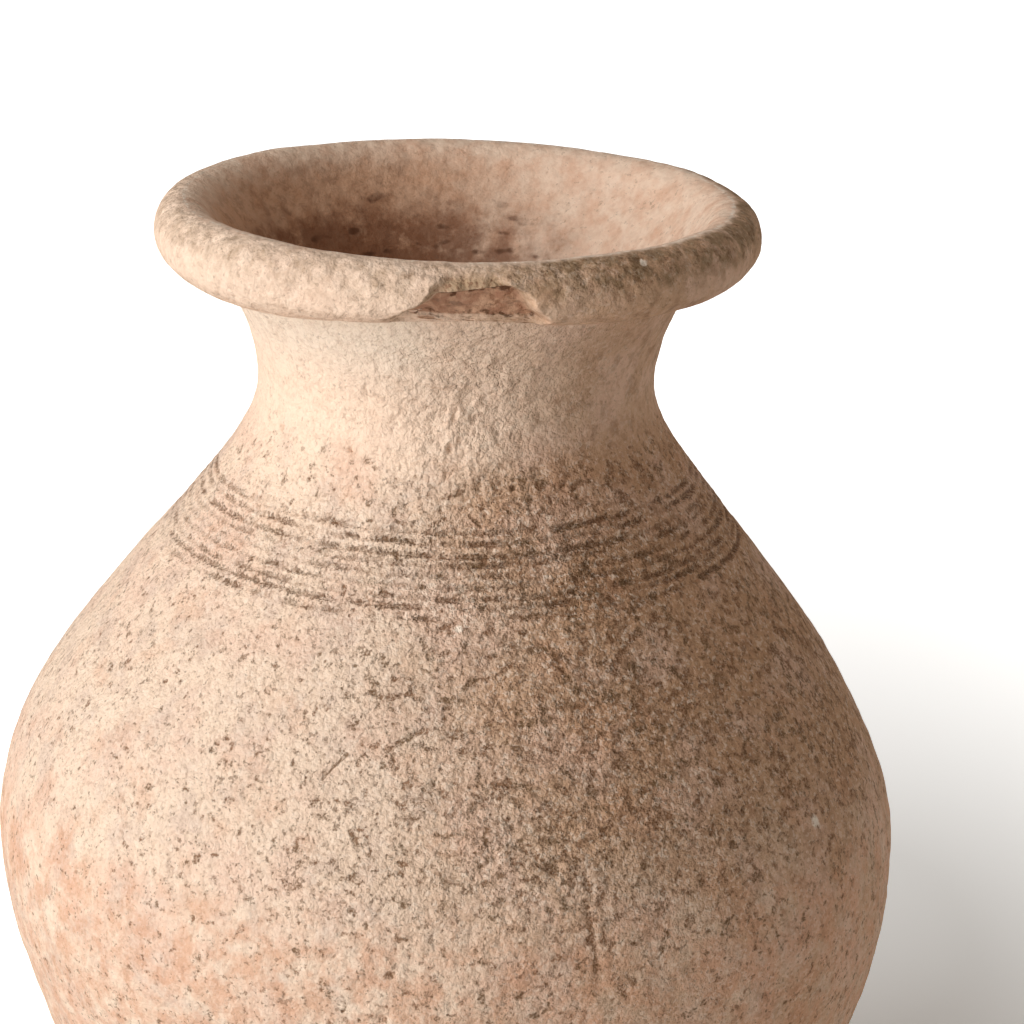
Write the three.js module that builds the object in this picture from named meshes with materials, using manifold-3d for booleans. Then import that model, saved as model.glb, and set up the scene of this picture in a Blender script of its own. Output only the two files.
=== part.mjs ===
// Small combed jar of buff terracotta, about a hand tall. An ovoid body stands on a small
// flat base, narrows to a neck and opens again into a funnel mouth, and a thick collar of
// folded clay wraps the lip. A flake is broken out of the collar at the front.
//
// Millimetres, +Z up, the front at -Y, origin at the centre of the flat base. The jar is
// built as the potter joined it: a base disc, two body walls, a neck and a collar, with
// bevelled seams luted with slip. Profile points are (radius, height) pairs.

import * as THREE from 'three';
import { mergeVertices } from 'three/addons/utils/BufferGeometryUtils.js';
import Module from 'manifold-3d';

// Outer form, from the base up. A reach is how far a curve keeps the direction of its end.
const footRadius = 27;
const footFlareAngle = 43.5;
const footFlareReach = 21.4;
const bellyRadius = 65;
const bellyHeight = 74.2;
const bellyReachBelow = 25.2;
const bellyReachAbove = 28.8;
const neckRadius = 27.9;
const shoulderHeight = 67.7;
const neckReachBelow = 14.7;
const neckReachAbove = 8.6;

// Mouth and collar
const lipRadius = 38.3;
const mouthHeight = 26.1;
const lipLeanAngle = 57;
const lipReach = 9.2;
const lipSeamInset = 1.3;
const lipSeamDrop = 4.7;
const collarOverhang = 4;
const collarWidestDrop = 4.7;
const collarDepth = 10.8;
const undersideFlatness = 0.7;
const undersideRise = 1;

// Wall thickness, which the inner surface follows
const footWall = 9;
const bellyWall = 6.2;
const neckWall = 5.5;
const lipWall = 3.5;
const floorDish = 0.7;

// Seams between the pieces, each a bevel from its outer edge up or down to its inner edge
const slipGap = 0.3;
const baseSeamHeight = 4;
const baseBevelRise = 5.3;
const bellySeamDrop = 4;
const bellyBevelRise = 4;
const neckSeamDrop = 11;
const neckBevelFall = 3;

// Combed grooves round the shoulder: an upper group just under the neck seam and a lower one
const combGrooveWidth = 0.8;
const combGrooveDepth = 0.5;
const upperCombClearance = 1.9;
const upperCombPitch = 1.1;
const upperCombGrooves = 4;
const combGroupSpacing = 3.8;
const lowerCombPitch = 0.95;
const lowerCombGrooves = 3;

// Flake broken out of the collar: a wide scar and a smaller one that runs into its left end
const chipBearing = 3.3;
const chipWidth = 34;
const chipHeight = 13.5;
const chipBite = 5.2;
const chipDrop = 9.6;
const chipStandoff = 2.2;
const sideScarBearing = -11;
const sideScarWidth = 15;
const sideScarHeight = 8;
const sideScarBite = 4.2;
const sideScarDrop = 9.6;

// Roundness of the turned pieces
const turnSegments = 60;
const wallSteps = 9;
const neckSteps = 8;
const collarSteps = 5;
const roundness = 0.55;
const scarSegments = 20;

// Heights that follow from the sizes above
const waistHeight = bellyHeight + shoulderHeight;
const totalHeight = waistHeight + mouthHeight;

const degrees = Math.PI / 180;
const at = (radius, height) => new THREE.Vector2(radius, height);
const heading = (angle, reach) => at(Math.cos(angle * degrees) * reach, Math.sin(angle * degrees) * reach);

function curveBetween(start, leave, arrive, end) {
  return new THREE.CubicBezierCurve(start, start.clone().add(leave), end.clone().sub(arrive), end);
}

// Outer profile: foot to belly, belly to waist, waist to the lip that the collar covers
const belly = at(bellyRadius, bellyHeight);
const waist = at(neckRadius, waistHeight);
const lip = at(lipRadius - lipSeamInset, totalHeight - lipSeamDrop);
const profile = [
  curveBetween(at(footRadius, 0), heading(footFlareAngle, footFlareReach), at(0, bellyReachBelow), belly),
  curveBetween(belly, at(0, bellyReachAbove), at(0, neckReachBelow), waist),
  curveBetween(waist, at(0, neckReachAbove), heading(lipLeanAngle, lipReach), lip),
];
const walls = [footWall, bellyWall, neckWall, lipWall];

// A station is a place along the profile: its whole part picks the curve, the rest the
// place on it, so 0 is the foot, 1 the belly, 2 the waist and 3 the lip.
function surfacePoint(station, inset) {
  const index = Math.min(Math.floor(station), profile.length - 1);
  const along = station - index;
  const tangent = profile[index].getTangent(along);
  const inward = at(-tangent.y, tangent.x);
  return profile[index].getPoint(along).addScaledVector(inward, inset);
}

function outside(station) {
  return surfacePoint(station, 0);
}

function inside(station) {
  const index = Math.min(Math.floor(station), profile.length - 1);
  const wall = THREE.MathUtils.lerp(walls[index], walls[index + 1], station - index);
  return surfacePoint(station, wall);
}

function stationAtHeight(surface, height) {
  let low = 0;
  let high = profile.length;
  for (let halving = 0; halving < 45; halving += 1) {
    const middle = (low + high) / 2;
    if (surface(middle).y < height) {
      low = middle;
    } else {
      high = middle;
    }
  }
  return (low + high) / 2;
}

function stations(from, to, steps) {
  return Array.from({ length: steps + 1 }, (_, step) => THREE.MathUtils.lerp(from, to, step / steps));
}

function stretch(surface, from, to, steps) {
  return stations(from, to, steps).map((station) => surface(station));
}

// A bevelled seam, as the stations of its two faces on the outer and the inner surface. The
// upper face stands the slip's thickness off the lower one, measured square to the bevel.
function bevelledSeam(outerHeight, innerHeight) {
  const outerEdge = outside(stationAtHeight(outside, outerHeight));
  const innerEdge = inside(stationAtHeight(inside, innerHeight));
  const run = Math.abs(outerEdge.x - innerEdge.x);
  const lift = (slipGap * outerEdge.distanceTo(innerEdge)) / run;
  return {
    belowOut: stationAtHeight(outside, outerHeight),
    belowIn: stationAtHeight(inside, innerHeight),
    aboveOut: stationAtHeight(outside, outerHeight + lift),
    aboveIn: stationAtHeight(inside, innerHeight + lift),
  };
}

const bellySeamHeight = bellyHeight - bellySeamDrop;
const neckSeamHeight = waistHeight - neckSeamDrop;
const baseSeam = bevelledSeam(baseSeamHeight, baseSeamHeight + baseBevelRise);
const bellySeam = bevelledSeam(bellySeamHeight, bellySeamHeight + bellyBevelRise);
const neckSeam = bevelledSeam(neckSeamHeight, neckSeamHeight - neckBevelFall);

// Turns a closed profile about +Z
function turned(outline) {
  const geometry = new THREE.LatheGeometry(outline, turnSegments);
  geometry.rotateX(Math.PI / 2);
  geometry.deleteAttribute('normal');
  geometry.deleteAttribute('uv');
  return mergeVertices(geometry);
}

function closedRing(outline) {
  return turned([...outline, outline[0]]);
}

function baseDisc() {
  const edge = stretch(outside, 0, baseSeam.belowOut, 2);
  const top = inside(baseSeam.belowIn);
  return turned([at(0, 0), ...edge, top, at(0, top.y - floorDish)]);
}

function lowerBody() {
  return closedRing([
    ...stretch(outside, baseSeam.aboveOut, bellySeam.belowOut, wallSteps),
    ...stretch(inside, bellySeam.belowIn, baseSeam.aboveIn, wallSteps),
  ]);
}

// Heights of the groove floors, from the top one down
function combHeights() {
  const upperTop = neckSeamHeight - upperCombClearance;
  const lowerTop = upperTop - upperCombPitch * (upperCombGrooves - 1) - combGroupSpacing;
  const upper = Array.from({ length: upperCombGrooves }, (_, groove) => upperTop - groove * upperCombPitch);
  const lower = Array.from({ length: lowerCombGrooves }, (_, groove) => lowerTop - groove * lowerCombPitch);
  return [...upper, ...lower];
}

// The shoulder's outer profile, with each groove cut square to the surface as a shallow V
function combedStretch(from, to, steps) {
  const grooves = combHeights().map((height) => {
    const floor = stationAtHeight(outside, height);
    const slope = profile[Math.floor(floor)].getTangent(floor % 1).y;
    const halfRise = (combGrooveWidth / 2) * slope;
    return {
      lower: stationAtHeight(outside, height - halfRise),
      floor,
      upper: stationAtHeight(outside, height + halfRise),
    };
  });
  const inGroove = (station) => grooves.some(({ lower, upper }) => station > lower && station < upper);
  const plain = stations(from, to, steps).filter((station) => !inGroove(station));
  const points = plain.map((station) => ({ station, depth: 0 }));
  grooves.forEach(({ lower, floor, upper }) => {
    points.push({ station: lower, depth: 0 });
    points.push({ station: floor, depth: combGrooveDepth });
    points.push({ station: upper, depth: 0 });
  });
  points.sort((first, second) => first.station - second.station);
  return points.map(({ station, depth }) => surfacePoint(station, depth));
}

function upperBody() {
  return closedRing([
    ...combedStretch(bellySeam.aboveOut, neckSeam.belowOut, wallSteps),
    ...stretch(inside, neckSeam.belowIn, bellySeam.aboveIn, wallSteps),
  ]);
}

function neck() {
  return closedRing([
    ...stretch(outside, neckSeam.aboveOut, profile.length, neckSteps),
    ...stretch(inside, profile.length, neckSeam.aboveIn, neckSteps),
  ]);
}

// The collar is a folded strip that sits on the lip's bevel and wraps the flare outside it.
// Its inner face keeps the slip's thickness off the neck, and its crest and its widest point
// set the round of the rim.
function collarSection() {
  const overNeck = (station) => surfacePoint(station, -slipGap);
  const crest = at(lipRadius, totalHeight);
  const widest = at(lipRadius + collarOverhang, totalHeight - collarWidestDrop);
  const footStation = stationAtHeight(overNeck, totalHeight - collarDepth);
  const foot = overNeck(footStation);
  const bevel = outside(profile.length).sub(inside(profile.length)).normalize();
  const upBevel = at(-bevel.y, bevel.x).multiplyScalar(slipGap);
  const seatIn = inside(profile.length).add(upBevel);
  const seatOut = overNeck(profile.length).add(upBevel);
  const overhang = widest.x - crest.x;
  const browRise = crest.y - widest.y;
  const underFall = widest.y - foot.y;
  const underside = curveBetween(
    foot,
    at((widest.x - foot.x) * undersideFlatness, undersideRise),
    at(0, underFall * roundness),
    widest,
  );
  const brow = curveBetween(widest, at(0, browRise * roundness), at(-overhang * roundness, 0), crest);
  const mouth = curveBetween(crest, at(-overhang * roundness, 0), heading(lipLeanAngle + 180, lipSeamInset), seatIn);
  return [
    ...underside.getPoints(collarSteps),
    ...brow.getPoints(collarSteps).slice(1),
    ...mouth.getPoints(collarSteps).slice(1),
    seatOut,
    ...stretch(overNeck, profile.length, footStation, collarSteps).slice(0, -1),
  ];
}

const wasm = await Module();
wasm.setup();

function solidFrom(geometry) {
  const mesh = new wasm.Mesh({
    numProp: 3,
    vertProperties: new Float32Array(geometry.attributes.position.array),
    triVerts: new Uint32Array(geometry.index.array),
  });
  return new wasm.Manifold(mesh);
}

function geometryFrom(solid) {
  const mesh = solid.getMesh();
  const geometry = new THREE.BufferGeometry();
  geometry.setAttribute('position', new THREE.BufferAttribute(new Float32Array(mesh.vertProperties), 3));
  geometry.setIndex(new THREE.BufferAttribute(new Uint32Array(mesh.triVerts), 1));
  return geometry;
}

// The scoop that a flake leaves: a flattened ellipsoid whose centre stands off the collar's
// widest line, so that only a shallow bite reaches the clay
function flakeScar(bearing, width, height, bite, drop) {
  const standoff = lipRadius + collarOverhang + chipStandoff;
  const geometry = new THREE.SphereGeometry(1, scarSegments, scarSegments / 2);
  geometry.rotateX(Math.PI / 2);
  geometry.scale(width / 2, bite + chipStandoff, height / 2);
  geometry.translate(0, -standoff, totalHeight - drop);
  geometry.rotateZ(bearing * degrees);
  geometry.deleteAttribute('normal');
  geometry.deleteAttribute('uv');
  return solidFrom(mergeVertices(geometry));
}

function rimCollar() {
  const wholeCollar = solidFrom(closedRing(collarSection()));
  const mainScar = flakeScar(chipBearing, chipWidth, chipHeight, chipBite, chipDrop);
  const sideScar = flakeScar(sideScarBearing, sideScarWidth, sideScarHeight, sideScarBite, sideScarDrop);
  return geometryFrom(wholeCollar.subtract(mainScar).subtract(sideScar));
}

// A named piece that stands at its own seam's height
function piece(name, geometry, standsAt, colour) {
  geometry.translate(0, 0, -standsAt);
  geometry.computeVertexNormals();
  const clay = new THREE.MeshStandardMaterial({ color: colour, roughness: 0.93, metalness: 0 });
  const mesh = new THREE.Mesh(geometry, clay);
  mesh.name = name;
  mesh.position.z = standsAt;
  return mesh;
}

const buffClay = 0xd2b196;
const paleClay = 0xdcc0a6;
const rimClay = 0xb9947a;

const body = new THREE.Group();
body.add(piece('base_disc', baseDisc(), 0, buffClay));
body.add(piece('lower_body', lowerBody(), baseSeamHeight, buffClay));
body.add(piece('upper_body', upperBody(), bellySeamHeight, buffClay));

const mouth = new THREE.Group();
mouth.position.z = neckSeamHeight;
mouth.add(piece('neck', neck(), neckSeamHeight, paleClay));
mouth.add(piece('rim_collar', rimCollar(), totalHeight - collarDepth, rimClay));
mouth.children.forEach((mesh) => {
  mesh.position.z -= neckSeamHeight;
});

const jar = new THREE.Group();
jar.add(body, mouth);

export default jar;
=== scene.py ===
# Looks of the small combed terracotta jar: its weathered skin, the worn combing, the grit,
# and the chip in its folded collar, with some light and shade painted into the clay's colour.
# Sizes are in millimetres here and become metres in the meshes. A bearing is the angle round
# the jar in degrees from its front, positive to the viewer's right, and heights are above the
# base.

import math
from types import SimpleNamespace

import bpy
import numpy as np
from mathutils import Matrix, Vector


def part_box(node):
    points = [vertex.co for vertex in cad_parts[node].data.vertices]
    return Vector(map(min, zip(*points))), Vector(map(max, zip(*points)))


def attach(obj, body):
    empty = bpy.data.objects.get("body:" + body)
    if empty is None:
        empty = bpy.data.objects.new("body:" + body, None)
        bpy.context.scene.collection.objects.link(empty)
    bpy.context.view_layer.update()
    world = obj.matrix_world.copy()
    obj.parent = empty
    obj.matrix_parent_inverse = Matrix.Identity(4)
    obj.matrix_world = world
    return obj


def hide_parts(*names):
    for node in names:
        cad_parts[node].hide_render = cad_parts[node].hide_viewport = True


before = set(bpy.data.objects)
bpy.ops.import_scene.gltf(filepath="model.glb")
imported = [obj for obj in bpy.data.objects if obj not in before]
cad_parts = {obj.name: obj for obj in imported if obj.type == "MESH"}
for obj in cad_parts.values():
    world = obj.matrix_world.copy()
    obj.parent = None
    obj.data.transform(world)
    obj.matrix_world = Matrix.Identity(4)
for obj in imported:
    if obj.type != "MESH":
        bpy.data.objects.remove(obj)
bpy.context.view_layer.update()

MM = 0.001


def node_box(node):
    low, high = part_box(node)
    return np.array(low) / MM, np.array(high) / MM


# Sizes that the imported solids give
TOTAL_HEIGHT = node_box("rim_collar")[1][2]
COLLAR_RADIUS = node_box("rim_collar")[1][0]
COLLAR_FOOT = node_box("rim_collar")[0][2]
BELLY_RADIUS = node_box("upper_body")[1][0]
BASE_SEAM = node_box("lower_body")[0][2]
BELLY_SEAM = node_box("upper_body")[0][2]
NECK_SEAM = node_box("upper_body")[1][2]

# The outer form, as the part's own curves have it
FOOT_RADIUS = 27.0
FOOT_FLARE = math.radians(43.5)
FOOT_REACH = 21.4
FOOT_ROUND = 1.6
FLAT_RADIUS = FOOT_RADIUS - FOOT_ROUND
BELLY_HEIGHT = 74.2
BELLY_REACH_BELOW = 25.2
BELLY_REACH_ABOVE = 28.8
NECK_RADIUS = 27.9
NECK_HEIGHT = 141.9
NECK_REACH_BELOW = 14.7
NECK_REACH_ABOVE = 8.6
LIP_RADIUS = 38.3
LIP_LEAN = math.radians(57)
LIP_REACH = 9.2
LIP_SEAM_INSET = 1.3
LIP_SEAM_DROP = 4.7
WIDEST_DROP = 4.7
BROW_INSET = 1.5

# Thickness of the wall at the foot, the belly, the neck and the lip, and the seams in it
WALLS = (9.0, 6.2, 5.5, 3.5)
SEAM_GAP = 0.3
SEAM_SINK = 0.15
FLOOR_CORNER = 6.5
FLOOR_DIP = 2.4


def curve(points, steps=400):
    """Points and unit normals of a cubic curve; the normal is on the right of its way."""
    p0, p1, p2, p3 = [np.array(p, float) for p in points]
    t = np.linspace(0, 1, steps)[:, None]
    place = (1 - t) ** 3 * p0 + 3 * t * (1 - t) ** 2 * p1 + 3 * t * t * (1 - t) * p2 + t**3 * p3
    slope = (1 - t) ** 2 * (p1 - p0) + 2 * t * (1 - t) * (p2 - p1) + t * t * (p3 - p2)
    slope /= np.linalg.norm(slope, axis=1)[:, None]
    return place, np.stack([slope[:, 1], -slope[:, 0]], -1)


def heading(angle, reach):
    return np.array([math.cos(angle), math.sin(angle)]) * reach


def outer_curves():
    foot = np.array([FOOT_RADIUS, 0.0])
    belly = np.array([BELLY_RADIUS, BELLY_HEIGHT])
    waist = np.array([NECK_RADIUS, NECK_HEIGHT])
    lip = np.array([LIP_RADIUS - LIP_SEAM_INSET, TOTAL_HEIGHT - LIP_SEAM_DROP])
    out_of_foot = foot + heading(FOOT_FLARE, FOOT_REACH)
    into_lip = lip - heading(LIP_LEAN, LIP_REACH)
    return [
        curve([foot, out_of_foot, belly - (0, BELLY_REACH_BELOW), belly]),
        curve([belly, belly + (0, BELLY_REACH_ABOVE), waist - (0, NECK_REACH_BELOW), waist]),
        curve([waist, waist + (0, NECK_REACH_ABOVE), into_lip, lip]),
    ]


class Track:
    """A profile that can be asked for its place and normal at a length along it."""

    def __init__(self, place, normal):
        keep = np.concatenate([[True], np.linalg.norm(np.diff(place, axis=0), axis=1) > 1e-6])
        self.place = place[keep]
        self.normal = normal[keep]
        steps = np.linalg.norm(np.diff(self.place, axis=0), axis=1)
        self.length = np.concatenate([[0], np.cumsum(steps)])

    def at(self, lengths):
        """Radius, height and both parts of the normal."""
        profile = (*self.place.T, *self.normal.T)
        return [np.interp(lengths, self.length, values) for values in profile]

    def length_at(self, height, first):
        """The length, from the first one allowed, at which the track comes nearest a height."""
        beyond = self.length >= first
        return self.length[beyond][np.abs(self.place[beyond, 1] - height).argmin()]


def joined(curves):
    """One track of several curves that follow each other."""
    places, normals = zip(*curves)
    return Track(np.vstack(places), np.vstack(normals))


def outer_track():
    """The flat base, its rounded edge, and the outer wall up to the lip under the collar."""
    (place, normal), shoulder, flare = outer_curves()
    start = np.searchsorted(place[:, 1], FOOT_ROUND * math.sin(FOOT_FLARE))
    wall = place[start]
    edge_start = np.array([FLAT_RADIUS, 0.0])
    flat = curve([(0, 0), (1, 0), edge_start - (1, 0), edge_start], 60)
    edge = curve([edge_start, (FOOT_RADIUS - 0.3, 0), wall - heading(FOOT_FLARE, 0.8), wall], 40)
    return joined([flat, edge, (place[start:], normal[start:]), shoulder, flare])


def inner_wall():
    """The inner surface from the mouth down to the floor, and the floor to its centre."""
    places = []
    normals = []
    for index, (place, normal) in enumerate(outer_curves()):
        wall = np.linspace(WALLS[index], WALLS[index + 1], len(place))[:, None]
        places.append(place - normal * wall)
        normals.append(-normal)
    place = np.vstack(places)[::-1]
    normal = np.vstack(normals)[::-1]
    corner = np.searchsorted(-place[:, 1], -(BASE_SEAM + FLOOR_CORNER))
    start = place[corner]
    level = start[1] - FLOOR_DIP
    floor = curve([start, start - (3.0, 2.6), (6.0, level), (0, level)], 80)
    return np.vstack([place[:corner], floor[0]]), np.vstack([normal[:corner], floor[1]])


def flare_radius(height):
    """Radius of the neck's outer wall where the collar wraps it."""
    place = outer_curves()[2][0]
    beyond = np.maximum(height - place[-1, 1], 0)
    return np.interp(height, place[:, 1], place[:, 0]) + beyond * 0.6


def inner_track():
    """The collar from its foot over the crest, then the mouth and the inside of the jar."""
    crest = np.array([LIP_RADIUS, TOTAL_HEIGHT])
    widest = np.array([COLLAR_RADIUS, TOTAL_HEIGHT - WIDEST_DROP])
    foot = np.array([flare_radius(COLLAR_FOOT) - 0.2, COLLAR_FOOT + 0.2])
    inner, inner_normal = inner_wall()
    seat = inner[0]
    overhang = widest[0] - crest[0]
    under = curve([foot, foot + ((widest[0] - foot[0]) * 0.7, 1), widest - (0, 3.3), widest])
    brow = curve([widest, widest + (0, 0.55 * WIDEST_DROP), crest + (0.55 * overhang, 0), crest])
    mouth = curve([crest, crest - (0.55 * overhang, 0), seat + heading(LIP_LEAN, 1.3), seat], 120)
    return joined([under, brow, mouth, (inner, inner_normal)])


OUTER = outer_track()
INNER = inner_track()
WALL_START = OUTER.length_at(1.5, FLAT_RADIUS)
CREST = INNER.length[INNER.place[:, 1].argmax()]


# Seeded noise on points in space, so that it runs on across seams and has no joint behind

def lattice(cells, seed):
    """A repeatable number from 0 to 1 for each whole-number cell."""
    x, y, z = [cells[..., k].astype(np.int64).astype(np.uint32) for k in range(3)]
    mixed = x * np.uint32(374761393) + y * np.uint32(668265263) + z * np.uint32(2246822519)
    mixed = mixed + np.uint32((seed * 3266489917) % 2**32)
    for shift in (15, 13, 16):
        mixed = (mixed ^ (mixed >> np.uint32(shift))) * np.uint32(2654435761)
    return (mixed ^ (mixed >> np.uint32(16))).astype(np.float64) / 2**32


def noise(points, size, seed, octaves=1):
    """Smooth noise from -1 to 1 whose lumps are about `size` millimetres across."""
    total = np.zeros(points.shape[:-1])
    weight = 1.0
    weights = 0.0
    for octave in range(octaves):
        spot = points / (size * 0.5**octave)
        cell = np.floor(spot)
        part = spot - cell
        fade = part**3 * (part * (part * 6 - 15) + 10)
        value = np.zeros_like(total)
        for corner in np.ndindex(2, 2, 2):
            step = np.array(corner[::-1])
            share = np.prod(np.where(step == 1, fade, 1 - fade), axis=-1)
            value += share * lattice(cell + step, seed + octave * 17)
        total += weight * (value * 2 - 1)
        weights += weight
        weight *= 0.5
    return total / weights * 1.6


def pits(points, cell, seed, share, smallest, largest):
    """Depth from 0 to 1 of round pits, one at most in each cell of the given size."""
    spot = points / cell
    base = np.floor(spot)
    depth = np.zeros(points.shape[:-1])
    for step in np.ndindex(3, 3, 3):
        near = base + step - 1
        centre = np.stack([lattice(near, seed + k) for k in range(3)], -1) + near
        present = lattice(near, seed + 5) < share
        radius = smallest + (largest - smallest) * lattice(near, seed + 7) ** 2
        gap = np.linalg.norm((spot - centre) * cell, axis=-1) / radius
        depth = np.maximum(depth, np.where(present, np.clip(1 - gap**2, 0, 1), 0))
    return depth


def rise(value, low, high):
    """0 below low, 1 above high, smooth between."""
    t = np.clip((value - low) / (high - low), 0, 1)
    return t * t * (3 - 2 * t)


def fall(value, full, end):
    """1 up to full, 0 above end, smooth between."""
    return rise(-value, -end, -full)


def between(value, start, end, soft):
    """1 well inside start and end, 0 outside them, smooth over the soft width."""
    return rise(value - start, 0, soft) * rise(end - value, 0, soft)


def hump(value, centre, width):
    """1 at the centre, falling away smoothly on both sides of it."""
    return np.exp(-(((value - centre) / width) ** 2))


def around(bearing, centre, width):
    """The same round the jar, by the short way from a bearing."""
    return hump((bearing - centre + 180) % 360 - 180, 0, width)


# Departures of the hand-made jar from the round

LEAN_HEIGHTS = (0, 52, 93, 128, 158, 170)
LEAN_OFFSETS = (0, 0.43, -1.08, -0.49, -0.39, -0.39)


def lean(height):
    """Sideways shift of the section's centre, towards the viewer's right."""
    return np.interp(height, LEAN_HEIGHTS, LEAN_OFFSETS)


def collar_drop(bearing):
    """How far the collar's lower edge hangs, as a share of its mean drop."""
    front = around(bearing, 4, 30)
    left = around(bearing, -60, 28)
    right = around(bearing, 75, 30)
    return 1.0 - 0.33 * front + 0.07 * left + 0.01 * right


def rim_rise(bearing):
    """How far the mouth rises above the level, in millimetres, as it isn't quite true."""
    front = around(bearing, 0, 50)
    left = around(bearing, -140, 45)
    right = around(bearing, 140, 45)
    return 0.3 * left - 0.55 * right - 0.2 * front


# Combing: height of each line above the base, and how deep it is at bearings along it
COMB_LINES = (
    (129.5, ((-60, 0.5), (-45, 0.2), (-28, 0.5), (-12, 0.3), (8, 0.6),
             (20, 0.3), (27, 1), (38, 1), (60, 0.6))),
    (128.3, ((-60, 0.4), (-40, 0.9), (-27, 0.3), (-18, 1), (-8, 1),
             (-3, 0.2), (5, 0.8), (30, 0.3), (42, 1), (60, 0.8))),
    (126.9, ((-60, 0.6), (-50, 0.3), (-36, 1), (-28, 0.4), (0, 0.9),
             (9, 1), (20, 0.5), (35, 1), (46, 1), (60, 0.4))),
    (125.9, ((-60, 0.2), (-40, 0.5), (-20, 0.4), (-6, 0.1), (6, 1),
             (15, 0.8), (28, 1), (34, 0.2), (55, 0.7))),
    (124.7, ((-40, 0.1), (-22, 0.5), (-8, 0.1), (12, 0.5), (25, 0.2), (46, 0.7), (60, 0.6))),
    (123.5, ((-60, 0.2), (-47, 0.9), (-34, 0.5), (-20, 0.1), (15, 0.5), (35, 0.5), (60, 0.7))),
    (122.15, ((-60, 0.5), (-30, 0.4), (-18, 0.2), (-12, 0.9), (10, 1),
              (22, 0.4), (26, 1), (38, 1), (41, 0.3), (46, 1))),
    (121.2, ((-60, 0.5), (-25, 0.9), (-10, 0.7), (8, 0.7), (15, 0.3),
             (25, 1), (40, 0.3), (52, 1), (60, 0.4))),
    (120.0, ((-60, 0.2), (-48, 0.8), (-28, 0.6), (-15, 0.1), (-4, 0.8),
             (3, 0.2), (13, 0.6), (32, 0.2), (45, 1))),
)
COMB_WIDTH = 0.27
COMB_DEPTH = 0.38


def combing(ring, height, bearing):
    """The height that the combing is drawn by, and how deep and how worn it is at each point."""
    flat = ring * (1, 1, 0)
    drawn = height - 0.2 * noise(flat, 30, 300) - 0.06 * noise(flat, 9, 310)
    depth = np.zeros(height.shape)
    worn = np.zeros(height.shape)
    nearest = np.full(height.shape, 99.0)
    for index, (line, strengths) in enumerate(COMB_LINES):
        patchy = rise(noise(flat + (0, 0, index * 5), 5, 320 + index, 2), -0.5, 0.1)
        strength = np.interp(bearing, *zip(*strengths), period=360) ** 0.6
        strength = strength * (0.3 + 0.7 * patchy)
        gap = np.abs(drawn - line)
        depth = np.maximum(depth, hump(gap, 0, COMB_WIDTH) * strength)
        worn = np.where(gap < nearest, strength, worn)
        nearest = np.minimum(gap, nearest)
    return drawn, depth, worn


# Scratches and cracks, as (bearing, height) at both ends and a half width
SCRATCHES = (
    (-1.5, 119.1, 1.2, 119.9, 0.5), (-9.0, 111.2, -5.5, 112.0, 0.5),
    (-7.0, 106.3, -3.2, 108.1, 0.6), (7.0, 102.0, 11.4, 101.8, 0.55),
    (-16.8, 102.0, -14.0, 104.7, 0.35), (17.5, 88.0, 18.0, 83.0, 0.55),
    (18.0, 83.0, 18.2, 78.5, 0.5), (17.8, 90.5, 18.2, 89.3, 0.6),
    (6.6, 127.0, 7.0, 126.4, 0.5), (24.5, 129.3, 31.0, 129.6, 0.5),
    (31.0, 129.6, 39.0, 129.9, 0.45), (29.6, 125.2, 30.8, 123.8, 0.5),
    (-14.5, 132.0, -12.8, 130.6, 0.45), (4.4, 131.6, 7.0, 130.4, 0.45),
    (-21.4, 123.0, -21.2, 121.8, 0.4), (-24.8, 147.4, -24.4, 145.8, 0.4),
)

# Raised ridges, in the same way
RIDGES = (
    (3.7, 93.5, 6.2, 96.3, 0.8), (6.8, 92.5, 8.5, 94.7, 0.7),
    (13.5, 151.6, 13.7, 149.8, 0.6), (14.0, 149.0, 16.0, 147.8, 0.6),
)

# Single pits, as bearing, height and radius
SPOTS = (
    (-1.0, 139.7, 0.55), (15.8, 134.8, 0.5), (-56.8, 138.7, 0.6),
    (-29.2, 138.4, 0.55), (-23.8, 137.4, 0.6), (-1.2, 102.2, 0.6),
    (14.0, 92.3, 1.2), (17.6, 83.0, 0.9), (-6.0, 79.3, 0.8),
    (-7.0, 73.2, 0.9), (42.0, 69.8, 0.9), (-48.8, 107.9, 0.45),
    (-32.8, 104.3, 0.45), (-34.0, 103.2, 0.4), (-27.2, 98.8, 0.4),
    (-35.5, 88.1, 0.5), (-48.8, 81.9, 0.45), (-11.8, 84.0, 0.5),
    (-12.8, 81.0, 0.45), (39.5, 91.1, 0.6), (40.2, 95.1, 0.6),
    (43.0, 94.5, 0.6), (-87.0, 83.0, 0.9),
)

# Redder, smoother and paler places, as bearing, height and radius
RUDDY_PLACES = (
    (10.5, 79.5, 5.0), (9.5, 75.0, 4.5), (35.8, 88.0, 6.0),
    (46.0, 76.0, 9.0), (-30.0, 80.0, 11.0), (-19.0, 79.0, 10.0),
    (-35.0, 69.0, 12.0), (-10.0, 68.0, 11.0), (-55.0, 84.0, 8.0),
    (12.0, 66.0, 9.0),
)
SMOOTH_PLACES = (
    (15.5, 164.5, 2.6), (18.0, 163.0, 2.2), (-24.0, 163.5, 3.0),
    (-36.0, 163.0, 3.5),
)
PALE_PLACES = (
    (55.5, 89.7, 1.3), (36.5, 167.3, 0.9), (1.8, 119.1, 0.8),
    (-87.0, 82.0, 1.2),
)


def wall_point(bearing, height):
    """A place on the wall, or on the collar's brow, without relief."""
    wall = OUTER.length > WALL_START
    radius = np.interp(height, OUTER.place[wall, 1], OUTER.place[wall, 0])
    if height > TOTAL_HEIGHT - WIDEST_DROP:
        radius = COLLAR_RADIUS - BROW_INSET
    angle = math.radians(bearing)
    return np.array([radius * math.sin(angle), -radius * math.cos(angle), height])


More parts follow.
